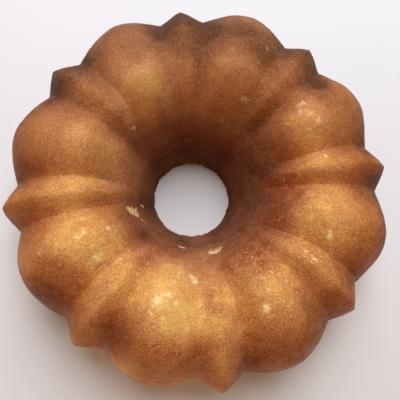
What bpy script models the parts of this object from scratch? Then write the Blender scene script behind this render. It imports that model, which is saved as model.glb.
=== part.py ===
"""Fluted ring cake, baked in a 10 inch ring pan and turned out crown up.

Eight broad round lobes alternate with eight narrow ridges. Between them sixteen
grooves run up the wall, over the crown and down into the throat, where they die out
above the round hole. The cake is one piece: a plain turned ring, then fluted.

Metres, +Z up. The origin is on the flat base, at the middle of the pan, and one
ridge points along +X.
"""

import math

import bpy
from mathutils import Vector
from mathutils.geometry import interpolate_bezier

MM = 0.001

# Plan of the flutes
FLUTES = 8
PERIOD = 2 * math.pi / FLUTES
# The groove's place, as a share of the way round from a ridge's crest to a lobe's.
# The ridges narrow less towards the middle than straight spokes would.
GROOVE_ON_WALL = 0.32
GROOVE_ON_CROWN = 0.36

# Reach of the wall from the middle of the pan, at its widest
RIDGE_REACH = 119.0 * MM
GROOVE_REACH = 111.0 * MM
LOBE_REACH = 117.5 * MM

# Height of the crown, and its distance from the middle
RIDGE_HEIGHT = 79.5 * MM
GROOVE_HEIGHT = 74.0 * MM
LOBE_HEIGHT = 84.0 * MM
CROWN_RADIUS = 66.0 * MM

# Squareness of the wall's section: 2 is an ellipse, and more is squarer
ROUNDNESS = 2.5

# How a ridge and a lobe come to the groove, on the wall and over the crown: 0 is a
# soft roll, and 1 is a fold between a straight flank and a full arch
WALL_FOLD = {"ridge": 0.79, "lobe": 0.73}
CROWN_FOLD = {"ridge": 0.20, "lobe": 0.73}

# Hole and throat
HOLE_RADIUS = 26.0 * MM
HOLE_OFFSET = (-3.3 * MM, 1.7 * MM)  # the hole baked a little off centre
THROAT_FLARE = (31.0 * MM, 38.0 * MM)  # handle above the hole's rim
THROAT_SHOULDER = 52.0 * MM  # handle on the crown's inner side
RELIEF_ENDS = 33.0 * MM  # the grooves have died out at this radius
RELIEF_FULL = 54.0 * MM  # and have their full depth from this radius outwards

# Soft edge where the wall meets the base
EDGE = 3.0 * MM

# How far each ridge and lobe stands out past the even shape, in mm, counted
# anticlockwise from the ridge on +X and the lobe after it
RIDGE_EXTRA = (-0.3, -1.7, -0.9, 0.3, -0.3, -1.6, 1.0, -0.4)
LOBE_EXTRA = (-0.9, -0.5, 0.4, 0.3, -0.7, -0.5, 0.9, 0.8)
# How much shallower the two grooves beside each ridge are over the crown, in mm
GROOVE_EXTRA = (0.0, 1.5, 2.5, 1.5, 0.0, 0.0, 0.0, 0.5)

# Resolution. The columns crowd together on the ridges, which are the narrow part, and
# a column runs along each crest and each groove.
COLUMNS = 160
COLUMNS_ON_RIDGE = 0.4  # share of the columns between the two grooves of a ridge
WALL_ROWS = 12
EDGE_ROWS = 2
BASE_ROWS = 2
THROAT_ROWS = 9


def smooth(t):
    """Ease in and out between 0 and 1."""
    t = min(max(t, 0.0), 1.0)
    return t * t * (3 - 2 * t)


def wall_point(reach, height, angle):
    """A point of the wall's section, from the widest place (0) up to the crown."""
    power = 2 / ROUNDNESS
    out = max(math.cos(angle), 0.0) ** power
    up = max(math.sin(angle), 0.0) ** power
    return (
        CROWN_RADIUS + (reach - CROWN_RADIUS) * out,
        EDGE + (height - EDGE) * up,
    )


def plain_section():
    """The section of the unfluted ring as (radius, height), with a lobe's sizes.

    It starts on the crown and runs down the wall, in along the base and up the throat.
    """
    section = [
        wall_point(LOBE_REACH, LOBE_HEIGHT, math.pi / 2 * (1 - k / WALL_ROWS))
        for k in range(WALL_ROWS + 1)
    ]
    for k in range(1, EDGE_ROWS + 1):
        turn = math.pi / 2 * k / EDGE_ROWS
        section.append(
            (LOBE_REACH - EDGE * (1 - math.cos(turn)), EDGE * (1 - math.sin(turn)))
        )
    base_outer = LOBE_REACH - EDGE
    for k in range(1, BASE_ROWS):
        section.append((base_outer + (HOLE_RADIUS - base_outer) * k / BASE_ROWS, 0.0))
    throat = interpolate_bezier(
        Vector((HOLE_RADIUS, 0.0)),
        Vector(THROAT_FLARE),
        Vector((THROAT_SHOULDER, LOBE_HEIGHT)),
        Vector((CROWN_RADIUS, LOBE_HEIGHT)),
        THROAT_ROWS + 1,
    )
    section += [(point.x, point.y) for point in throat[:-1]]
    return section


def flute_column(turn):
    """Finds which flute an evenly spaced column belongs to.

    Returns the numbers of its ridge and lobe, and its signed place between them: 0 on
    the ridge's crest, COLUMNS_ON_RIDGE in the groove and 1 on the lobe's crest.
    """
    ridge = round(turn / PERIOD)
    lobe = math.floor(turn / PERIOD)
    return ridge, lobe % FLUTES, (turn - ridge * PERIOD) / (PERIOD / 2)


def direction(ridge, place, groove):
    """The angle at which a column stands when its groove is at the given share."""
    share = abs(place)
    if share <= COLUMNS_ON_RIDGE:
        share = groove * share / COLUMNS_ON_RIDGE
    else:
        rest = (share - COLUMNS_ON_RIDGE) / (1 - COLUMNS_ON_RIDGE)
        share = groove + (1 - groove) * rest
    return (ridge + math.copysign(share, place) / 2) * PERIOD


def between(ridge_value, groove_value, lobe_value, place, fold):
    """Blends a size from the ridge's crest through the groove to the lobe's crest."""
    share = abs(place)
    if share < COLUMNS_ON_RIDGE:
        t = 1 - share / COLUMNS_ON_RIDGE
        rise = (1 - fold["ridge"]) * smooth(t) + fold["ridge"] * t
        return groove_value + (ridge_value - groove_value) * rise
    t = (share - COLUMNS_ON_RIDGE) / (1 - COLUMNS_ON_RIDGE)
    arch = math.sin(t * math.pi / 2)
    rise = (1 - fold["lobe"]) * smooth(t) + fold["lobe"] * arch
    return groove_value + (lobe_value - groove_value) * rise


def flute(x, y, z):
    """Moves a point of the plain ring to its place on the fluted cake."""
    radius = math.hypot(x, y)
    ridge, lobe, place = flute_column(math.atan2(y, x) % (2 * math.pi))
    ridge_extra = RIDGE_EXTRA[ridge % FLUTES] * MM
    lobe_extra = LOBE_EXTRA[lobe] * MM
    reach = between(
        RIDGE_REACH + ridge_extra,
        GROOVE_REACH + (ridge_extra + lobe_extra) / 2,
        LOBE_REACH + lobe_extra,
        place,
        WALL_FOLD,
    )
    groove_height = GROOVE_HEIGHT + GROOVE_EXTRA[ridge % FLUTES] * MM
    height = between(RIDGE_HEIGHT, groove_height, LOBE_HEIGHT, place, CROWN_FOLD)

    outward = 0.0
    if radius >= CROWN_RADIUS and z >= EDGE:
        outward = (radius - CROWN_RADIUS) / (LOBE_REACH - CROWN_RADIUS)
        radius = CROWN_RADIUS + (reach - CROWN_RADIUS) * outward
        z = EDGE + (height - EDGE) * (z - EDGE) / (LOBE_HEIGHT - EDGE)
    elif z < EDGE:
        outward = (radius - HOLE_RADIUS) / (LOBE_REACH - EDGE - HOLE_RADIUS)
        radius += (reach - LOBE_REACH) * smooth(outward)
    else:
        relief = smooth((radius - RELIEF_ENDS) / (RELIEF_FULL - RELIEF_ENDS))
        z *= 1 + (height / LOBE_HEIGHT - 1) * relief
    groove = GROOVE_ON_CROWN + (GROOVE_ON_WALL - GROOVE_ON_CROWN) * smooth(outward)
    turn = direction(ridge, place, groove)

    inward = 1 - smooth((radius - HOLE_RADIUS) / (CROWN_RADIUS - HOLE_RADIUS))
    return (
        radius * math.cos(turn) + HOLE_OFFSET[0] * inward,
        radius * math.sin(turn) + HOLE_OFFSET[1] * inward,
        z,
    )


def crust_material():
    """Golden brown baked crust."""
    material = bpy.data.materials.new("golden_crust")
    material.use_nodes = True
    shader = material.node_tree.nodes["Principled BSDF"]
    shader.inputs["Base Color"].default_value = (0.48, 0.20, 0.06, 1.0)
    shader.inputs["Roughness"].default_value = 0.55
    shader.inputs["Metallic"].default_value = 0.0
    material.diffuse_color = (0.48, 0.20, 0.06, 1.0)
    return material


def make_cake(collection):
    """Turns the plain ring from its section, and flutes it."""
    section = plain_section()
    count = len(section)
    outline = bpy.data.meshes.new("ring_section")
    outline.from_pydata(
        [(radius, 0.0, height) for radius, height in section],
        [(k, (k + 1) % count) for k in range(count)],
        [],
    )
    cake = bpy.data.objects.new("fluted_ring_cake", outline)
    collection.objects.link(cake)

    turn = cake.modifiers.new("Turn", "SCREW")
    turn.axis = "Z"
    turn.angle = 2 * math.pi
    turn.steps = turn.render_steps = COLUMNS
    turn.merge_threshold = 0.00001
    bpy.context.view_layer.update()
    ring = bpy.data.meshes.new_from_object(
        cake.evaluated_get(bpy.context.evaluated_depsgraph_get())
    )
    cake.modifiers.clear()
    cake.data = ring
    ring.name = "fluted_ring_cake"
    bpy.data.meshes.remove(outline)

    for vertex in ring.vertices:
        vertex.co = flute(*vertex.co)
    ring.materials.append(crust_material())
    ring.shade_smooth()
    ring.set_sharp_from_angle(angle=math.radians(50))
    return cake


for old in list(bpy.data.objects):
    bpy.data.objects.remove(old, do_unlink=True)
cake_collection = bpy.data.collections.new("Fluted ring cake")
bpy.context.scene.collection.children.link(cake_collection)
make_cake(cake_collection)
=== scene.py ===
# %% [markdown]
# # A fluted ring cake
#
# This cake was baked in a fluted ring pan and turned out with its crown up. Eight broad
# round lobes alternate with eight narrow ridges, and sixteen grooves between them run up
# the wall, over the crown and down into the throat of the round hole.
#
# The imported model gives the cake's true size and place. Everything here is in metres in
# that same frame: the origin is on the flat base in the middle of the pan, +Z is up, and
# one ridge points along +X. Sizes are written in millimetres and multiplied by MM.

# %% Load the frame
import math

import bpy
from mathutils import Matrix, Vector, noise
from mathutils.bvhtree import BVHTree
from mathutils.geometry import interpolate_bezier, intersect_point_line
from mathutils.kdtree import KDTree


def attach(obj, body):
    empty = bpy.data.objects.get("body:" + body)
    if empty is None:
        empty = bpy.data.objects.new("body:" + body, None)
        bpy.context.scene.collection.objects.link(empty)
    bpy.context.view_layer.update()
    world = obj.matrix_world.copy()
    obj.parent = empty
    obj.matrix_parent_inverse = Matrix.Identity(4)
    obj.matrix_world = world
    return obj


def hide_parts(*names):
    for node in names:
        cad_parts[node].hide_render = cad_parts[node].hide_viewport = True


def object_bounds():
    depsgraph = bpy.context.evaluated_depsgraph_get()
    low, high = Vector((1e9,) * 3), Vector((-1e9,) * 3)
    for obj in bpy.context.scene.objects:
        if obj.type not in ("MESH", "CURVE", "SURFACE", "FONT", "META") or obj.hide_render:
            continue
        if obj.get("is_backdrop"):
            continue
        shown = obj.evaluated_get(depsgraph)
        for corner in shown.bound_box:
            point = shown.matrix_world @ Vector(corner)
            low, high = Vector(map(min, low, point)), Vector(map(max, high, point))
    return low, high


MM = 0.001
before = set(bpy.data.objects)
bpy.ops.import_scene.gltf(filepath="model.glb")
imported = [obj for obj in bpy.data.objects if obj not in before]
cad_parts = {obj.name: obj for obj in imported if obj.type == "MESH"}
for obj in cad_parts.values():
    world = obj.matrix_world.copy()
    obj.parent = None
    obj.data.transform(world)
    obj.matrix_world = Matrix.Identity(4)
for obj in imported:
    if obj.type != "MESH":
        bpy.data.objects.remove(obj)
cad_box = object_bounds()
bpy.ops.object.select_all(action="DESELECT")
print("model box, mm:", [[round(v / MM, 1) for v in corner] for corner in cad_box])

# %% [markdown]
# ## Camera
#
# The picture looks down on the crown from 28 cm above the table, a little from the near
# side. From so close, the cake shows its perspective: the near lobes are large and the
# hole's bottom rim looks small. A camera could be placed by hand until its picture looks
# right, but here its place and turn are known in the cake's frame, so both are given as
# numbers. The field of view is set by sensor and lens: 36 mm over 36 mm makes the picture
# as wide as its distance.

# %% Camera
PICTURE = 400  # pixels on each side
CAMERA_PLACE = Vector((-16.4, -41.3, 279.6)) * MM
CAMERA_TURN = [math.radians(angle) for angle in (8.95, -2.90, -6.68)]

camera = bpy.data.objects.new("camera", bpy.data.cameras.new("camera"))
bpy.context.scene.collection.objects.link(camera)
camera.location = CAMERA_PLACE
camera.rotation_euler = CAMERA_TURN
camera.data.sensor_width = 36
camera.data.lens = 36
camera.data.clip_start = 10 * MM
bpy.context.scene.camera = camera
bpy.context.view_layer.update()
print("camera looks along", [round(-v, 2) for v in camera.matrix_world.col[2][:3]])

# %% [markdown]
# ## The plain ring
#
# Without its flutes, the cake is a ring with the same section all the way round: a full
# rounded wall, a small soft edge, the flat base, and a throat that flares from the hole
# up to the crown. A torus could be squashed into it, but its section is a circle and its
# rows would crowd on the inside. Drawing the section and turning it once round the
# middle, as on a lathe, gives the right curve and even rows. The Screw modifier does that
# at once, where the Spin operator takes half a minute for this many steps. The section
# starts as a plain circle of points, and each point is slid onto the curve, evenly spaced
# along it, with fewer on the flat base where nothing happens.

# %% Section of the ring
LOBE_REACH = 117.5 * MM
LOBE_HEIGHT = 84.0 * MM
CROWN_RADIUS = 66.0 * MM
ROUNDNESS = 2.5  # squareness of the wall: 2 is an ellipse, and more is squarer
EDGE = 3.0 * MM  # soft edge where the wall meets the base
HOLE_RADIUS = 26.0 * MM
THROAT_FLARE = (31.0 * MM, 38.0 * MM)  # handle above the hole's rim
THROAT_SHOULDER = 52.0 * MM  # handle on the crown's inner side

# How many rows of points each stretch of the section gets
WALL_ROWS = 80
EDGE_ROWS = 5
BASE_ROWS = 8
THROAT_ROWS = 72
# Fine steps along each curve, among which its evenly spaced points are found
WALL_STEPS = 800
EDGE_STEPS = 60
THROAT_STEPS = 400


def evenly(curve, count):
    """Returns count points at even steps along a curve, without its last point."""
    lengths = [0.0]
    for start, end in zip(curve, curve[1:]):
        lengths.append(lengths[-1] + math.dist(start, end))
    points, piece = [], 0
    for k in range(count):
        along = lengths[-1] * k / count
        while lengths[piece + 1] < along:
            piece += 1
        share = (along - lengths[piece]) / (lengths[piece + 1] - lengths[piece])
        points.append(Vector(curve[piece]).lerp(Vector(curve[piece + 1]), share))
    return points


def wall_point(turn):
    """A point of the wall, from the crown (turn 0) down to the widest place (turn 1)."""
    angle = math.pi / 2 * (1 - turn)
    out = max(math.cos(angle), 0.0) ** (2 / ROUNDNESS)
    up = max(math.sin(angle), 0.0) ** (2 / ROUNDNESS)
    return (
        CROWN_RADIUS + (LOBE_REACH - CROWN_RADIUS) * out,
        EDGE + (LOBE_HEIGHT - EDGE) * up,
    )


def edge_point(turn):
    """A point of the soft edge, from the wall (turn 0) round to the base (turn 1)."""
    angle = math.pi / 2 * turn
    return LOBE_REACH - EDGE * (1 - math.cos(angle)), EDGE * (1 - math.sin(angle))


throat = interpolate_bezier(
    Vector((HOLE_RADIUS, 0.0)),
    Vector(THROAT_FLARE),
    Vector((THROAT_SHOULDER, LOBE_HEIGHT)),
    Vector((CROWN_RADIUS, LOBE_HEIGHT)),
    THROAT_STEPS,
)
wall = [wall_point(k / WALL_STEPS) for k in range(WALL_STEPS + 1)]
edge = [edge_point(k / EDGE_STEPS) for k in range(EDGE_STEPS + 1)]
section = (
    evenly(wall, WALL_ROWS)
    + evenly(edge, EDGE_ROWS)
    + evenly([(LOBE_REACH - EDGE, 0.0), (HOLE_RADIUS, 0.0)], BASE_ROWS)
    + evenly([tuple(point[:2]) for point in throat], THROAT_ROWS)
)
print("points in the section:", len(section))

# %% Turn the section round the middle
COLUMNS = 576
RING_CORE = Vector((CROWN_RADIUS, 40 * MM))  # radius and height inside the ring

bpy.ops.mesh.primitive_circle_add(vertices=len(section), radius=LOBE_REACH)
cake = bpy.context.object
cake.name = cake.data.name = "fluted_cake"
for vertex, (radius, height) in zip(cake.data.vertices, section):
    vertex.co = (radius, 0.0, height)

turn = cake.modifiers.new("turn", "SCREW")
turn.axis = "Z"
turn.angle = 2 * math.pi
turn.steps = turn.render_steps = COLUMNS
turn.use_merge_vertices = True
turn.merge_threshold = 0.01 * MM
bpy.ops.object.modifier_apply(modifier="turn")

# Every face has to look away from the ring's core
outward = 0.0
for face in cake.data.polygons:
    core = Vector((*face.center.xy.normalized() * RING_CORE.x, RING_CORE.y))
    outward += face.normal.dot(face.center - core)
if outward < 0:
    cake.data.flip_normals()
print("plain ring:", len(cake.data.vertices), "points,", len(cake.data.polygons), "faces")

# %% [markdown]
# ## Flutes
#
# The pan's flutes press sixteen grooves into the ring. They could be modelled one by one
# and copied round, but they fade out in the throat, narrow towards the middle and differ
# a little from each other. So every point of the ring is asked where it is, and moved:
# outwards or inwards to the reach that its flute has there, up or down to its height, and
# a little sideways so that a row of points runs along each groove.

# %% How a size changes across a flute
FLUTES = 8
PERIOD = 2 * math.pi / FLUTES
ON_RIDGE = 13 / 36  # share of the columns between a ridge's crest and its groove
GROOVE_ON_WALL = 0.32  # the groove's place between ridge and lobe, on the wall
GROOVE_ON_CROWN = 0.36
WALL_FOLD = {"ridge": 0.79, "lobe": 0.73}  # 0 is a soft roll and 1 a folded groove
CROWN_FOLD = {"ridge": 0.20, "lobe": 0.73}


def smooth(t):
    """Ease in and out between 0 and 1."""
    t = min(max(t, 0.0), 1.0)
    return t * t * (3 - 2 * t)


def between(ridge_value, groove_value, lobe_value, place, fold):
    """Blends a size from the ridge's crest through the groove to the lobe's crest."""
    share = abs(place)
    if share < ON_RIDGE:
        t = 1 - share / ON_RIDGE
        rise = (1 - fold["ridge"]) * smooth(t) + fold["ridge"] * t
        return groove_value + (ridge_value - groove_value) * rise
    t = (share - ON_RIDGE) / (1 - ON_RIDGE)
    rise = (1 - fold["lobe"]) * smooth(t) + fold["lobe"] * math.sin(t * math.pi / 2)
    return groove_value + (lobe_value - groove_value) * rise


def direction(ridge, place, groove):
    """The angle at which a column stands when its groove is at the given share."""
    share = abs(place)
    if share <= ON_RIDGE:
        share = groove * share / ON_RIDGE
    else:
        share = groove + (1 - groove) * (share - ON_RIDGE) / (1 - ON_RIDGE)
    return (ridge + math.copysign(share, place) / 2) * PERIOD


print("degrees from ridge to ridge:", round(math.degrees(PERIOD)))

# %% Flute the ring
RIDGE_REACH = 119.0 * MM
GROOVE_REACH = 111.0 * MM
RIDGE_HEIGHT = 79.5 * MM
GROOVE_HEIGHT = 74.0 * MM
RELIEF_ENDS = 33.0 * MM  # the grooves have died out at this radius
RELIEF_FULL = 54.0 * MM  # and are at full depth from here
HOLE_OFFSET = (-3.3 * MM, 1.7 * MM)  # the hole baked a little off centre
# How far each ridge and lobe stands out past the even shape, in mm, counted anticlockwise
# from the ridge on +X and the lobe after it
RIDGE_EXTRA = (-0.3, -1.7, -0.9, 0.3, -0.3, -1.6, 1.0, -0.4)
LOBE_EXTRA = (-0.9, -0.5, 0.4, 0.3, -0.7, -0.5, 0.9, 0.8)
# How much shallower the grooves beside each ridge are over the crown, in mm: the groove
# on its clockwise side, and the one on its other side
GROOVE_EXTRA = (
    (0.0, 0.0),
    (1.0, 1.5),
    (2.5, 2.5),
    (1.5, 1.5),
    (0.0, 0.0),
    (0.0, 0.0),
    (2.2, -0.5),
    (0.5, 0.5),
)


def flute(point):
    """Returns where a point of the plain ring is on the cake, and its place in a flute.

    The place is 0 on a ridge's crest and 1 on a lobe's.
    """
    x, y, z = point
    radius = math.hypot(x, y)
    around = math.atan2(y, x) % (2 * math.pi) / PERIOD
    ridge, lobe = round(around), math.floor(around) % FLUTES
    place = (around - ridge) * 2
    ridge_extra = RIDGE_EXTRA[ridge % FLUTES] * MM
    lobe_extra = LOBE_EXTRA[lobe] * MM
    reach = between(
        RIDGE_REACH + ridge_extra,
        GROOVE_REACH + (ridge_extra + lobe_extra) / 2,
        LOBE_REACH + lobe_extra,
        place,
        WALL_FOLD,
    )
    groove_height = GROOVE_HEIGHT + GROOVE_EXTRA[ridge % FLUTES][place > 0] * MM
    height = between(RIDGE_HEIGHT, groove_height, LOBE_HEIGHT, place, CROWN_FOLD)
    outward = 0.0
    if radius >= CROWN_RADIUS and z >= EDGE:
        outward = (radius - CROWN_RADIUS) / (LOBE_REACH - CROWN_RADIUS)
        radius = CROWN_RADIUS + (reach - CROWN_RADIUS) * outward
        z = EDGE + (height - EDGE) * (z - EDGE) / (LOBE_HEIGHT - EDGE)
    elif z < EDGE:
        outward = (radius - HOLE_RADIUS) / (LOBE_REACH - EDGE - HOLE_RADIUS)
        radius += (reach - LOBE_REACH) * smooth(outward)
    else:
        relief = smooth((radius - RELIEF_ENDS) / (RELIEF_FULL - RELIEF_ENDS))
        z *= 1 + (height / LOBE_HEIGHT - 1) * relief
    groove = GROOVE_ON_CROWN + (GROOVE_ON_WALL - GROOVE_ON_CROWN) * smooth(outward)
    turn = direction(ridge, place, groove)
    inward = 1 - smooth((radius - HOLE_RADIUS) / (CROWN_RADIUS - HOLE_RADIUS))
    moved = (
        radius * math.cos(turn) + HOLE_OFFSET[0] * inward,
        radius * math.sin(turn) + HOLE_OFFSET[1] * inward,
        z,
    )
    return moved, abs(place)


places = []
for vertex in cake.data.vertices:
    vertex.co, place = flute(vertex.co)
    places.append(place)
print("fluted cake, mm:", [round(v / MM, 1) for v in cake.dimensions])

# %% [markdown]
# ## Unevenness of the bake
#
# A baked crust is never as true as its pan. It swells and sinks a little over a few
# centimetres, it has shallow dimples where bubbles lay against the metal, and a fine
# grain. Sculpting these by hand would take long and repeat badly. Displace modifiers
# with procedural clouds do it evenly all over, each at its own size, and are applied at
# once. A vertex group keeps the flat base and its rims out of it.

# %% Which points are crust
CRUST = "baked_crust"
THROAT_RADIUS = 45 * MM  # nearer the middle than this, a point is in the throat
FADE_IN_THROAT = 35 * MM  # height over which the relief fades in: the throat is smooth
FADE_ON_WALL = 9 * MM

crust = cake.vertex_groups.new(name=CRUST)
for vertex in cake.data.vertices:
    in_throat = vertex.co.xy.length < THROAT_RADIUS
    fade = FADE_IN_THROAT if in_throat else FADE_ON_WALL
    crust.add([vertex.index], smooth(vertex.co.z / fade), "REPLACE")
print("points in", CRUST + ":", len(cake.data.vertices))

# %% Swellings, dimples and grain
RELIEF = {
    # name: (size of the clouds, height from valley to top), both in mm
    "swellings": (30, 1.8),
    "dimples": (8, 0.4),
    "grain": (2.6, 0.3),
}
for name, (size, height) in RELIEF.items():
    clouds = bpy.data.textures.new(name, "CLOUDS")
    clouds.noise_scale = size * MM
    clouds.noise_depth = 1
    lift = cake.modifiers.new(name, "DISPLACE")
    lift.texture = clouds
    lift.texture_coords = "LOCAL"
    lift.strength = height * MM
    lift.mid_level = 0.5
    lift.vertex_group = CRUST
    bpy.ops.object.modifier_apply(modifier=name)
print("with relief, mm:", [round(v / MM, 1) for v in cake.dimensions])

# %% [markdown]
# ## Marks placed one by one
#
# Some marks are found on this one cake: small cream flecks where the batter browned less,
# and scars where a little crust stayed in the pan and shows the crumb. Each is named by
# the pixel where the picture shows it, and a ray from the camera through that pixel finds
# its place on the crust. A fleck is only a colour, so its closeness is stored as an
# attribute that the material reads. A scar is also sunk into the mesh.

# %% Find a pixel's place on the crust
def crust_finder(piece):
    """Returns a function that gives the point of the piece seen at a pixel."""
    tree = BVHTree.FromObject(piece, bpy.context.evaluated_depsgraph_get())
    view = camera.matrix_world
    distance = PICTURE * camera.data.lens / camera.data.sensor_width

    def at(pixel):
        across, down = pixel[0] - PICTURE / 2, pixel[1] - PICTURE / 2
        ray = view.to_3x3() @ Vector((across, -down, -distance))
        return tree.ray_cast(view.translation, ray.normalized())[0]

    return at


def closeness(piece, marks, full=1.0):
    """Returns for each point 1 on a mark, 0 at its edge and less outside, down to -1.

    A mark is (first pixel, last pixel, half its width in mm). One that is narrower than
    the full width is fainter.
    """
    at = crust_finder(piece)
    near = KDTree(len(piece.data.vertices))
    for vertex in piece.data.vertices:
        near.insert(vertex.co, vertex.index)
    near.balance()
    values = [-1.0] * len(piece.data.vertices)
    for first, last, width in marks:
        start, end = at(first), at(last)
        strength = min(width / full, 1)
        width *= MM
        middle = (start + end) / 2
        reach = (end - start).length / 2 + 2 * width
        for point, index, _ in near.find_range(middle, reach):
            closest = start
            if (end - start).length > 0:
                closest, share = intersect_point_line(point, start, end)
                closest = start.lerp(end, min(max(share, 0), 1))
            value = strength * (1 - (point - closest).length / width)
            values[index] = max(values[index], value)
    return values


crest = crust_finder(cake)((165, 310))
print("the near lobe's crest, mm:", [round(v / MM) for v in crest])

# %% Scars
# Each mark is (first pixel, last pixel, half its width in mm)
SCARS = [
    ((128, 208), (137, 210), 2.2),
    ((131, 211), (138, 213), 3.0),
    ((134, 213), (138, 215), 2.0),
    ((142, 205), (144, 206), 1.6),
    ((139, 216), (146, 223), 1.0),
    ((213, 251), (218, 249), 3.2),
    ((214, 252), (217, 251), 2.6),
    ((211, 253), (214, 252), 1.5),
    ((180, 246), (184, 247), 1.6),
]
SCAR_DEPTH = 0.7 * MM
TATTER = 1.6 * MM  # size of the tatters along a scar's edge
TATTER_REACH = 0.5  # how far they reach, as a share of its half width
SCAR_BANK = 0.35  # how far in its full depth is reached, as such a share

scar = closeness(cake, SCARS)
normals = [vertex.normal.copy() for vertex in cake.data.vertices]
for vertex, value, normal in zip(cake.data.vertices, scar, normals):
    tattered = value + TATTER_REACH * noise.noise(vertex.co / TATTER)
    vertex.co -= normal * SCAR_DEPTH * smooth(tattered / SCAR_BANK)
print("points inside a scar:", sum(value > 0 for value in scar))

# %% Flecks
# The flecks are written as the scars are
FLECKS = [
    ((158, 300), (158, 302), 5.0),
    ((170, 294), (170, 295), 2.9),
    ((192, 278), (194, 280), 3.6),
    ((180, 273), (178, 277), 1.8),
    ((168, 307), (168, 308), 2.0),
    ((151, 313), (152, 314), 2.6),
    ((184, 315), (185, 315), 1.8),
    ((187, 328), (187, 329), 1.8),
    ((97, 257), (97, 258), 4.2),
    ((107, 228), (109, 229), 2.2),
    ((76, 238), (84, 232), 2.0),
    ((119, 258), (120, 259), 1.9),
    ((154, 114), (154, 116), 1.9),
    ((188, 72), (188, 73), 1.7),
    ((244, 99), (246, 101), 3.0),
    ((330, 233), (330, 236), 2.7),
    ((266, 307), (267, 309), 3.0),
    ((262, 275), (262, 277), 1.8),
    ((287, 280), (287, 282), 1.7),
    ((302, 103), (303, 103), 2.7),
    ((319, 120), (320, 122), 2.7),
    ((288, 123), (288, 124), 1.8),
    ((300, 111), (301, 113), 2.0),
    ((325, 155), (326, 157), 1.8),
    ((267, 48), (268, 49), 1.7),
    ((222, 120), (222, 122), 1.8),
    ((40, 251), (40, 253), 1.8),
    ((133, 128), (134, 129), 1.7),
    ((292, 117), (292, 118), 1.7),
    ((297, 106), (298, 107), 1.5),
    ((311, 113), (312, 114), 1.9),
    ((308, 128), (309, 129), 1.7),
    ((232, 48), (233, 49), 1.5),
    ((258, 62), (259, 63), 1.5),
    ((163, 319), (164, 320), 1.8),
    ((176, 304), (177, 305), 2.0),
    ((148, 297), (149, 298), 1.8),
    ((92, 246), (93, 248), 1.9),
    ((88, 262), (90, 263), 1.7),
    ((340, 168), (341, 168), 1.5),
    ((268, 290), (269, 291), 1.6),
    ((103, 266), (104, 267), 1.8),
    ((306, 251), (307, 252), 2.0),
    ((314, 258), (315, 259), 2.2),
    ((270, 271), (271, 272), 1.7),
    ((291, 302), (292, 303), 1.7),
]
FULL_FLECK = 3.0  # half the width in mm from which a fleck is at its palest

fleck = closeness(cake, FLECKS, full=FULL_FLECK)
print("points inside a fleck:", sum(value > 0 for value in fleck))

# %% [markdown]
# ## Crumbly rims
#
# Where the crust meets the base it was never held by the pan, so the rims of the hole and
# of the foot are a little torn and crumbly. A Displace modifier would also dent the flat
# base, so here noise moves the points only sideways, and only near the two rims.

# %% Crumbly rims
RIM_HEIGHT = 8 * MM
HOLE_RIM = 7 * MM  # width of the torn band at the hole
FOOT_RIM = 14 * MM  # and at the foot
RIM_TEAR = 0.7 * MM
TEARS = ((7 * MM, 1.0), (1.9 * MM, 0.8))  # (size, share) of the large and small tears
TEAR_STRETCH = Vector((1, 1, 0.5))  # a tear is twice as high as it is wide

middle = Vector((*HOLE_OFFSET, 0))
torn = 0
for vertex in cake.data.vertices:
    height = vertex.co.z
    spoke = (vertex.co - middle) * Vector((1, 1, 0))
    near = max(
        1 - (spoke.length - HOLE_RADIUS) / HOLE_RIM,
        1 - (RIDGE_REACH - spoke.length) / FOOT_RIM,
    )
    share = smooth(near) * smooth(1 - height / RIM_HEIGHT)
    if share > 0:
        where = vertex.co * TEAR_STRETCH
        tear = sum(part * noise.noise(where / size) for size, part in TEARS)
        vertex.co += spoke.normalized() * (RIM_TEAR * share * tear)
        torn += 1
print("points near a rim:", torn)

# %% [markdown]
# ## Keeping to the pan
#
# The relief must not make the cake bigger than the pan. Cutting it off at the box would
# leave flat spots, so whatever comes near a side of the model's box is pressed back
# softly: the last 0.6 millimetres take up all that would stand out.

# %% Press the cake softly into its box
SOFT = 0.6 * MM


def pressed(value, limit):
    """Presses a distance from the origin back under its limit."""
    past = value - (limit - SOFT)
    return value if past <= 0 else limit - SOFT + SOFT * math.tanh(past / SOFT)


low, high = cad_box
for vertex in cake.data.vertices:
    for axis in range(3):
        value = vertex.co[axis]
        if value > 0:
            vertex.co[axis] = pressed(value, high[axis])
        elif axis < 2:
            vertex.co[axis] = -pressed(-value, -low[axis])
        else:
            vertex.co[axis] = 0.0
print("pressed, mm:", [round(v / MM, 1) for v in cake.dimensions])
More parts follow.
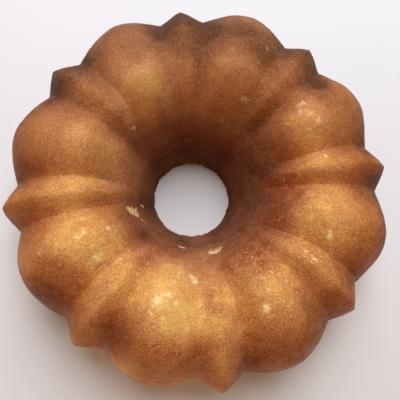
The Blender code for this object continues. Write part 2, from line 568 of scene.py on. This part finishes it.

# %% [markdown]
# ## Browning and painted shade
#
# The crust is golden on the crowns, where the batter was thickest, and darker down the
# wall, along the grooves and most of all in the throat. That is partly browning, most of
# all in the throat, where the crust lay against the pan's hot tube, and partly painted
# shade, as the wall, the grooves and the throat lie in shade. The far side is darkened
# with painted shade and the near side paled with painted light. Each lobe and ridge came
# out a little different, and there are browner, paler and redder patches, and some of
# these are painted shade, a few painted light. Noise alone can't know that, and painting
# by hand can't be repeated. So each point works out how dark it is from its place, from 0
# for gold to 1 for deep brown, and stores that as an attribute. The material adds the
# fine mottling to it.

# %% How the browning and painted shade are spread
CROWN_GOLD = 0.23  # browning on a lobe's crown
# The throat and the wall are darker with browning and with painted shade
THROAT_BROWN = 0.86
WALL_BROWN = 0.61
GOLD_RADIUS = 61 * MM  # the crown is palest at this distance from the middle
THROAT_BAND = 31 * MM  # the throat's brown and painted shade are full this much nearer the middle
WALL_BAND = 35 * MM  # and the wall's this much further out
GROOVE_BROWN = 0.13  # how much darker the grooves are over the crown, with browning and painted shade
GROOVE_BROWN_LOW = 0.08  # and what comes on top of that down the wall
GROOVE_SPREAD = {"ridge": 0.36, "lobe": 0.45}  # how far that reaches up each flank
CREST_BROWN = 0.08  # how much browner the ridges' crests are on top
SHADED_SIDE = math.radians(68)  # direction of the side darkened with painted shade, from +X
SIDE_SHADE_ON_CROWN = 0.15  # how much darker the crown is there with painted shade, and paler opposite with painted light
SIDE_SHADE_ON_WALL = 0.27
LOW_FAR_HELD = 0.26  # how far the browning and painted shade are held back low down on the far wall
FULL_COLOUR = 0.995  # how full the crust's colour is, against the ramp of the material
DULLER = {"throat": 0.08, "far": 0.1}  # and how much less full it is there; on the far side's top that is a painted sheen
BLOTCHES_FEWER = 0.6  # how much rarer the pale blotches are on the far side
TINT_STARTS, TINT_BAND = 0.2, 0.4  # places in a flute where a ridge's tint gives way
# How much browner or paler than its neighbours each lobe and ridge came out, counted
# the same way as above
LOBE_TINT = (-0.16, -0.12, -0.04, 0.07, -0.22, -0.10, 0.06, -0.13)
RIDGE_TINT = (-0.08, 0.08, 0.14, 0.12, -0.12, -0.08, -0.11, -0.03)

# %% Patches
# Places that are darker or paler than the rest. Some browned more or less, some are painted
# shade where the cake lies in shadow, and a few are painted light. Each is (direction in
# degrees from +X, distance from the middle and half its width in mm, how much darker).
PATCHES = [
    (6, 62, 14, -0.18),
    (12, 45, 14, 0.22),
    (30, 78, 14, 0.22),
    (34, 48, 16, 0.24),
    (34, 64, 9, 0.28),
    (34, 86, 9, 0.36),
    (57, 76, 12, 0.18),
    (68, 78, 24, 0.32),
    (79, 86, 9, 0.26),
    (84, 72, 18, 0.2),
    (98, 36, 16, 0.12),
    (98, 52, 24, -0.26),
    (101, 85, 8, 0.18),
    (102, 62, 11, 0.2),
    (107, 46, 13, 0.15),
    (108, 74, 18, 0.2),
    (118, 58, 18, -0.22),
    (147, 52, 12, -0.1),
    (158, 44, 18, -0.3),
    (160, 90, 18, -0.28),
    (168, 63, 15, -0.18),
    (180, 34, 12, 0.12),
    (193, 54, 20, 0.3),
    (206, 88, 20, 0.26),
    (210, 108, 22, 0.55),
    (213, 92, 12, 0.12),
    (214, 45, 10, 0.34),
    (214, 79, 9, 0.2),
    (236, 87, 18, 0.32),
    (239, 110, 14, -0.3),
    (245, 50, 16, -0.16),
    (248, 88, 14, 0.2),
    (259, 109, 12, -0.25),
    (260, 72, 16, -0.26),
    (268, 62, 9, 0.2),
    (270, 34, 14, -0.16),
    (278, 98, 9, 0.15),
    (304, 68, 10, -0.16),
    (326, 46, 14, 0.2),
    (330, 76, 14, -0.18),
    (338, 108, 18, 0.28),
    (345, 46, 14, 0.3),
    (349, 72, 9, -0.12),
    (352, 106, 18, 0.32),
]
# Places where the crust came out redder, in the same way
RED_PATCHES = [
    (352, 46, 14, 0.9),
    (328, 46, 10, 0.8),
    (300, 48, 14, 1.0),
    (284, 46, 8, 0.6),
    (232, 40, 12, 0.4),
]


def patch_at(patches, x, y):
    """Adds up what some patches do to a place on the plan of the cake."""
    total = 0.0
    for degrees, distance, width, more in patches:
        angle = math.radians(degrees)
        across = x - distance * MM * math.cos(angle)
        along = y - distance * MM * math.sin(angle)
        total += more * smooth(1.2 * (1 - math.hypot(across, along) / (width * MM)))
    return total


print("patches:", len(PATCHES), "browner or paler,", len(RED_PATCHES), "redder")

# %% How brown and how shaded each point is
def past(distance, start, band):
    """Rises softly from 0 at the start to 1 at the end of a band, both in mm."""
    return smooth((distance - start * MM) / (band * MM))


crust_values = {name: [] for name in ("browning_and_shade", "redness", "fullness", "tube", "crown")}
for vertex, place in zip(cake.data.vertices, places):
    x, y, z = vertex.co
    radius = math.hypot(x, y)
    heading = math.atan2(y, x)
    around = heading % (2 * math.pi) / PERIOD

    # From the gold of the crown to the darker throat and wall: browning and painted shade
    inner = smooth((GOLD_RADIUS - radius) / THROAT_BAND)
    outer = smooth((radius - GOLD_RADIUS) / WALL_BAND)
    brown = CROWN_GOLD + (THROAT_BROWN - CROWN_GOLD) * inner
    brown += (WALL_BROWN - CROWN_GOLD) * outer

    # Darker along the grooves, with browning and painted shade, and browner on the crests of
    # the ridges
    spread = GROOVE_SPREAD["ridge" if place < ON_RIDGE else "lobe"]
    groove = 1 - smooth(abs(place - ON_RIDGE) / spread)
    depth = GROOVE_BROWN + GROOVE_BROWN_LOW * past(radius, 75, 20)
    brown += depth * groove * past(radius, 40, 14)
    on_crest = 1 - smooth(place / ON_RIDGE)
    on_top = past(radius, 42, 12) * (1 - past(radius, 70, 15))
    brown += CREST_BROWN * on_crest * on_top

    # Darker on the far side with painted shade, and paler on the near side with painted
    # light
    side_shade = SIDE_SHADE_ON_CROWN * past(radius, 36, 20)
    side_shade += (SIDE_SHADE_ON_WALL - SIDE_SHADE_ON_CROWN) * past(radius, 80, 25)
    brown += side_shade * math.cos(heading - SHADED_SIDE)

    # Each lobe and ridge has its own tint, and one runs into the other in the groove
    ridge_share = 1 - smooth((place - TINT_STARTS) / TINT_BAND)
    tint = RIDGE_TINT[round(around) % FLUTES] * ridge_share
    tint += LOBE_TINT[math.floor(around) % FLUTES] * (1 - ridge_share)
    brown += tint * past(radius, 30, 22)
    # The patches add browning, painted shade and painted light
    brown += patch_at(PATCHES, x, y)

    # Low down on the far wall the deepest brown isn't reached
    low_far = past(y, 0, 40) * (1 - past(z, 15, 50))
    crust_values["browning_and_shade"].append(min(brown, 1 - LOW_FAR_HELD * low_far))
    crust_values["redness"].append(patch_at(RED_PATCHES, x, y))
    # The colour is a little duller in the throat, and on the far side's top with a painted
    # sheen
    far = max(y, 0.0) / (100 * MM) * past(z, 0, 60)
    full = FULL_COLOUR - DULLER["throat"] * inner - DULLER["far"] * far
    crust_values["fullness"].append(full)
    crust_values["tube"].append(inner)
    # The crown is 1 on top and 0 in the throat and on the wall, and less on the far side
    on_crown = (1 - inner) * (1 - outer)
    crust_values["crown"].append(on_crown * (1 - BLOTCHES_FEWER * past(y, -50, 100)))
browning_and_shade = crust_values["browning_and_shade"]
print("browning from", round(min(browning_and_shade), 2), "to", round(max(browning_and_shade), 2))

# %% Store it on the cake
crust_values["scar"] = scar
crust_values["fleck"] = fleck
for name, values in crust_values.items():
    attribute = cake.data.attributes.new(name, "FLOAT", "POINT")
    attribute.data.foreach_set("value", values)
print("attributes:", ", ".join(crust_values))

# %% [markdown]
# ## Material: the crust
#
# Baked wheat crust: sugars browned against the metal of the pan. It is matt, with hardly
# any gloss, and its colour runs from gold through orange brown to a deep brown, mottled
# over a centimetre or two. Over that lie a fine grain and pale freckles about a
# millimetre wide, where small bubbles lay against the pan. A photograph of crust would
# repeat and stretch over the flutes. Noise on Object coordinates runs through the whole
# solid, so it never stretches.

# %% Helpers for materials
def colour(code):
    """Turns an sRGB hex colour into the linear colour that shaders take."""
    parts = [int(code[k : k + 2], 16) / 255 for k in (1, 3, 5)]
    linear = [p / 12.92 if p <= 0.04045 else ((p + 0.055) / 1.055) ** 2.4 for p in parts]
    return (*linear, 1.0)


def add(tree, kind, inputs, **settings):
    """Adds a node with its settings, and gives its inputs a value or a link.

    A Map Range has its value at input 0, the old range at 1 and 2 and the new range at 3
    and 4. A colour Mix has its share at 0, its colours at 6 and 7 and the result at 2.
    """
    node = tree.nodes.new(kind)
    for name, value in settings.items():
        setattr(node, name, value)
    for name, value in inputs.items():
        if isinstance(value, bpy.types.NodeSocket):
            tree.links.new(value, node.inputs[name])
        else:
            node.inputs[name].default_value = value
    return node


def per(size):
    """The scale of a pattern whose cells are this many millimetres wide."""
    return 1 / (size * MM)


print("gold in linear light:", [round(v, 3) for v in colour("#e3a75b")])

# %% Patterns of the crust
crust_material = bpy.data.materials.new("baked_crust")
crust_material.use_nodes = True
tree = crust_material.node_tree
skin = tree.nodes["Principled BSDF"]
space = add(tree, "ShaderNodeTexCoord", {}).outputs["Object"]

broad = add(tree, "ShaderNodeTexNoise", {"Vector": space, "Scale": per(20), "Detail": 3})
patchy = add(tree, "ShaderNodeTexNoise", {"Vector": space, "Scale": per(5), "Detail": 4})
fine = add(tree, "ShaderNodeTexNoise", {"Vector": space, "Scale": per(0.9), "Detail": 2})
print("noise patterns:", sum("Noise" in node.name for node in tree.nodes))

# %% How strong the grain is
# Against the pan's hot tube the crust is smooth and even, so the grain is calmer there.
# It is also a little coarser on the near side than on the far side.
tube_share = add(tree, "ShaderNodeAttribute", {}, attribute_name="tube").outputs["Fac"]
calm = add(tree, "ShaderNodeMapRange", {0: tube_share, 1: 0.62, 2: 1.0, 3: 1.0, 4: 0.25})
side = add(tree, "ShaderNodeSeparateXYZ", {0: space}).outputs["Y"]
coarse = add(
    tree,
    "ShaderNodeMapRange",
    {0: side, 1: -100 * MM, 2: 100 * MM, 3: 1.25, 4: 0.7},
)
calm = add(
    tree,
    "ShaderNodeMath",
    {0: calm.outputs[0], 1: coarse.outputs[0]},
    operation="MULTIPLY",
)
grain = add(
    tree,
    "ShaderNodeMath",
    {0: fine.outputs["Fac"], 1: 0.5},
    operation="SUBTRACT",
)
grain = add(
    tree,
    "ShaderNodeMath",
    {0: grain.outputs[0], 1: calm.outputs[0]},
    operation="MULTIPLY",
)

# The mottling is fainter on the far side
mottled = add(
    tree,
    "ShaderNodeMath",
    {0: patchy.outputs["Fac"], 1: 0.5},
    operation="SUBTRACT",
)
fainter = add(tree, "ShaderNodeMapRange", {0: side, 1: -50 * MM, 2: 50 * MM, 3: 1.0, 4: 0.5})
mottled = add(
    tree,
    "ShaderNodeMath",
    {0: mottled.outputs[0], 1: fainter.outputs[0]},
    operation="MULTIPLY",
)
print("crust nodes so far:", len(tree.nodes))

# %% Colour from the browning and painted shade
amount = add(tree, "ShaderNodeAttribute", {}, attribute_name="browning_and_shade").outputs["Fac"]
for pattern, weight in ((broad, 0.5), (mottled, 0.35), (grain, 0.8)):
    amount = add(
        tree,
        "ShaderNodeMath",
        {0: pattern.outputs[0], 1: weight, 2: amount},
        operation="MULTIPLY_ADD",
    ).outputs[0]
# Noise is 0.5 on average, so half of the first weight comes off again. The ramp keeps a
# fifth of its length for crust that is paler than gold.
PALER_THAN_GOLD = 0.2
amount = add(
    tree,
    "ShaderNodeMath",
    {0: amount, 1: 0.8, 2: PALER_THAN_GOLD - 0.8 * 0.25},
    operation="MULTIPLY_ADD",
)

BROWNS = {0.2: "#e3a75b", 0.4: "#c8844b", 0.6: "#ac6635", 0.8: "#8a4d27"}
ramp = add(tree, "ShaderNodeValToRGB", {})
stops = ramp.color_ramp.elements
stops[0].position, stops[0].color = 0.0, colour("#f4c16c")
stops[1].position, stops[1].color = 1.0, colour("#5c3018")
for position, code in BROWNS.items():
    stops.new(position).color = colour(code)
print("colours from gold to deep brown:", len(stops))

# %% Freckles
bubbles = add(tree, "ShaderNodeTexVoronoi", {"Vector": space, "Scale": per(2.1)})
uneven = add(
    tree,
    "ShaderNodeMath",
    {0: fine.outputs["Fac"], 1: 0.5, 2: bubbles.outputs["Distance"]},
    operation="MULTIPLY_ADD",
)
freckle = add(
    tree,
    "ShaderNodeMapRange",
    {0: uneven.outputs[0], 1: 0.35, 2: 0.6, 3: 1.0, 4: 0.0},
)
cover = add(
    tree,
    "ShaderNodeMapRange",
    {0: patchy.outputs["Fac"], 1: 0.4, 2: 0.65, 3: 0.1, 4: 0.55},
)
# The redder patches carry more freckles than the rest
redness = add(tree, "ShaderNodeAttribute", {}, attribute_name="redness").outputs["Fac"]
cover = add(
    tree,
    "ShaderNodeMath",
    {0: redness, 1: 0.5, 2: cover.outputs[0]},
    operation="MULTIPLY_ADD",
)
freckle_amount = add(
    tree,
    "ShaderNodeMath",
    {0: freckle.outputs[0], 1: cover.outputs[0]},
    operation="MULTIPLY",
)
# A few broader blotches, where a pool of bubbles kept the crust off the metal
pool = add(tree, "ShaderNodeTexNoise", {"Vector": space, "Scale": per(4.2), "Detail": 2})
blotch = add(
    tree,
    "ShaderNodeMapRange",
    {0: pool.outputs["Fac"], 1: 0.6, 2: 0.8, 3: 0.0, 4: 0.8},
)
crown_share = add(tree, "ShaderNodeAttribute", {}, attribute_name="crown").outputs["Fac"]
blotch = add(
    tree,
    "ShaderNodeMath",
    {0: blotch.outputs[0], 1: crown_share},
    operation="MULTIPLY",
)
freckle_amount = add(
    tree,
    "ShaderNodeMath",
    {0: freckle_amount.outputs[0], 1: blotch.outputs[0]},
    operation="MAXIMUM",
)
# A freckle is the crust with less brown: a lighter share of the same ramp
paler = add(
    tree,
    "ShaderNodeMath",
    {0: freckle_amount.outputs[0], 1: -0.35, 2: amount.outputs[0]},
    operation="MULTIPLY_ADD",
)
tree.links.new(paler.outputs[0], ramp.inputs["Fac"])
print("crust nodes so far:", len(tree.nodes))

# %% Tone of the crust
# The colour is duller in the throat, and duller and yellower on the far side with a painted
# sheen
fullness = add(tree, "ShaderNodeAttribute", {}, attribute_name="fullness").outputs["Fac"]
hue = add(tree, "ShaderNodeMapRange", {0: side, 1: 0.0, 2: 100 * MM, 3: 0.5, 4: 0.508})
tone = add(
    tree,
    "ShaderNodeHueSaturation",
    {"Hue": hue.outputs[0], "Saturation": fullness, "Color": ramp.outputs["Color"]},
)

# Red brown shows in spots inside the redder patches, between the freckles
bare = add(
    tree,
    "ShaderNodeMath",
    {0: freckle_amount.outputs[0], 1: -1.2, 2: 1.0},
    operation="MULTIPLY_ADD",
)
bare.use_clamp = True
spots = add(
    tree,
    "ShaderNodeMapRange",
    {0: patchy.outputs["Fac"], 1: 0.4, 2: 0.6, 3: 0.25, 4: 0.75},
)
for share in (bare, spots):
    redness = add(
        tree,
        "ShaderNodeMath",
        {0: redness, 1: share.outputs[0]},
        operation="MULTIPLY",
    ).outputs[0]
marked = add(
    tree,
    "ShaderNodeMix",
    {0: redness, 6: tone.outputs["Color"], 7: colour("#924426")},
    data_type="RGBA",
).outputs[2]
print("crust nodes so far:", len(tree.nodes))

# %% Flecks and scars
blot = add(tree, "ShaderNodeTexNoise", {"Vector": space, "Scale": per(1.9), "Detail": 3})
# Flecks stand out less on the far side, darkened with painted shade
faint = add(tree, "ShaderNodeMapRange", {0: side, 1: -15 * MM, 2: 75 * MM, 3: 1.1, 4: 0.3})
RAGGED = 2.0  # how far the noise moves the edge of a mark
MARKS = {
    # name: (colour, how soft its edge is, how strong it is)
    "fleck": ("#ffe3a0", 1.0, faint.outputs[0]),
    "scar": ("#f3cf92", 0.8, 1.0),
}
for name, (code, soft, strength) in MARKS.items():
    close = add(tree, "ShaderNodeAttribute", {}, attribute_name=name)
    edge = add(
        tree,
        "ShaderNodeMath",
        {0: blot.outputs["Fac"], 1: RAGGED, 2: close.outputs["Fac"]},
        operation="MULTIPLY_ADD",
    )
    start = RAGGED / 2 + 0.15
    mask = add(
        tree,
        "ShaderNodeMapRange",
        {0: edge.outputs[0], 1: start, 2: start + soft, 4: strength},
    )
    marked = add(
        tree,
        "ShaderNodeMix",
        {0: mask.outputs[0], 6: marked, 7: colour(code)},
        data_type="RGBA",
    ).outputs[2]
tree.links.new(marked, skin.inputs["Base Color"])
print("marks:", ", ".join(MARKS))

# %% Roughness and grain of the crust
# The crust is a touch less rough on the crown than in the throat, and wanders everywhere
rough = add(
    tree,
    "ShaderNodeMapRange",
    {0: patchy.outputs["Fac"], 1: 0.3, 2: 0.7, 3: 0.8, 4: 0.98},
)
rough = add(
    tree,
    "ShaderNodeMath",
    {0: calm.outputs[0], 1: -0.4, 2: rough.outputs[0]},
    operation="MULTIPLY_ADD",
)
tree.links.new(rough.outputs[0], skin.inputs["Roughness"])
skin.inputs["IOR"].default_value = 1.45  # about that of sugar and fat
skin.inputs["Specular IOR Level"].default_value = 0.05

bumps = add(
    tree,
    "ShaderNodeMath",
    {0: freckle.outputs[0], 1: 0.3, 2: fine.outputs["Fac"]},
    operation="MULTIPLY_ADD",
)
relief = add(
    tree,
    "ShaderNodeBump",
    {"Height": bumps.outputs[0], "Strength": calm.outputs[0], "Distance": 0.3 * MM},
)
tree.links.new(relief.outputs["Normal"], skin.inputs["Normal"])
print("crust nodes:", len(tree.nodes))

# %% [markdown]
# ## Material: the underside
#
# The flat base was the open top of the batter in the pan. It dried in the oven's air, so
# it is paler and duller than the crust, with larger torn pores.

# %% Underside
base_material = bpy.data.materials.new("dried_cake_base")
base_material.use_nodes = True
tree = base_material.node_tree
skin = tree.nodes["Principled BSDF"]
space = add(tree, "ShaderNodeTexCoord", {}).outputs["Object"]
broad = add(tree, "ShaderNodeTexNoise", {"Vector": space, "Scale": per(16), "Detail": 5})
pores = add(tree, "ShaderNodeTexVoronoi", {"Vector": space, "Scale": per(3.2)})
ramp = add(tree, "ShaderNodeValToRGB", {"Fac": broad.outputs["Fac"]})
stops = ramp.color_ramp.elements
stops[0].position, stops[0].color = 0.3, colour("#a4683a")
stops[1].position, stops[1].color = 0.7, colour("#d6a263")
hollow = add(
    tree,
    "ShaderNodeMapRange",
    {0: pores.outputs["Distance"], 1: 0.1, 2: 0.35, 3: 0.7, 4: 0.0},
)
pitted = add(
    tree,
    "ShaderNodeMix",
    {0: hollow.outputs[0], 6: ramp.outputs["Color"], 7: colour("#8a5029")},
    data_type="RGBA",
)
tree.links.new(pitted.outputs[2], skin.inputs["Base Color"])
skin.inputs["Roughness"].default_value = 0.8
relief = add(
    tree,
    "ShaderNodeBump",
    {"Height": hollow.outputs[0], "Strength": 0.8, "Distance": 0.5 * MM},
    invert=True,
)
tree.links.new(relief.outputs["Normal"], skin.inputs["Normal"])
print("base nodes:", len(tree.nodes))

# %% Give the faces their material
cake.data.materials.clear()
cake.data.materials.append(crust_material)
cake.data.materials.append(base_material)
for face in cake.data.polygons:
    flat = face.normal.z < -0.9 and face.center.z < 0.5 * MM
    face.material_index = 1 if flat else 0
bpy.ops.object.shade_smooth_by_angle(angle=math.radians(50))
print("faces of the base:", sum(face.material_index for face in cake.data.polygons))

# %% [markdown]
# ## The cake in the model
#
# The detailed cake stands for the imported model's node of the same piece, and moves with
# the model's one body.

# %% Place in the model
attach(cake, "root")
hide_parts("fluted_ring_cake")
print(cake.name, "replaces fluted_ring_cake and moves with the body root")

# %% [markdown]
# ## Table and light
#
# The cake stands on a plain pale table. Large soft lamps, as daylight through windows is,
# show the relief without hard shadows. The main one hangs high over the far side, and a
# bluer one stands lower behind it, so the flanks that face them are lit and those that
# face the near side are in soft shade. A weak warm lamp on the near side and a warm sky
# fill that shade. The near lamp spreads little, so that its colour stays off the table.

# %% Table
TABLE_SIZE = 3.0
TABLE_TOP = -0.2 * MM  # just below the base, so that the two aren't in one plane

bpy.ops.mesh.primitive_plane_add(size=TABLE_SIZE, location=(0, 0, TABLE_TOP))
table = bpy.context.object
table.name = "table"
table_material = bpy.data.materials.new("matt_table")
table_material.use_nodes = True
paint = table_material.node_tree.nodes["Principled BSDF"]
paint.inputs["Base Color"].default_value = colour("#ecebe9")
paint.inputs["Roughness"].default_value = 0.7
table.data.materials.append(table_material)
table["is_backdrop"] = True
print("table, m:", [round(v, 2) for v in table.dimensions])

# %% Light
LAMPS = {
    # name: (place, size, power in watts, spread in degrees, colour)
    "window": ((0.13, 0.56, 0.93), 0.7, 11.9, 180, "#f1f5ff"),
    "far_sky": ((-0.10, 1.10, 0.60), 0.9, 2.8, 180, "#bcd6ff"),
    "fill": ((-0.75, -1.25, 0.62), 0.9, 0.66, 70, "#ffb468"),
}
for name, (place, size, power, spread, code) in LAMPS.items():
    lamp = bpy.data.objects.new(name, bpy.data.lights.new(name, "AREA"))
    bpy.context.scene.collection.objects.link(lamp)
    lamp.data.size = size
    lamp.data.energy = power
    lamp.data.spread = math.radians(spread)
    lamp.data.color = colour(code)[:3]
    lamp.location = place
    lamp.rotation_euler = (-lamp.location).to_track_quat("-Z", "Y").to_euler()

sky = bpy.data.worlds.new("sky")
sky.use_nodes = True
bpy.context.scene.world = sky
light = sky.node_tree.nodes["Background"]
light.inputs["Color"].default_value = colour("#ffe3c6")
light.inputs["Strength"].default_value = 0.24
bpy.context.scene.view_settings.view_transform = "Standard"
print("lamps:", ", ".join(LAMPS))

# %% [markdown]
# ## Size
#
# The visual cake's box is printed beside the model's, so that the two can be compared.

# %% Print the two boxes
sizes = {
    "cad": [list(corner) for corner in cad_box],
    "visual": [list(corner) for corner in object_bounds()],
}
for name, box in sizes.items():
    print(name, "box, mm:", [[round(v / MM, 2) for v in corner] for corner in box])
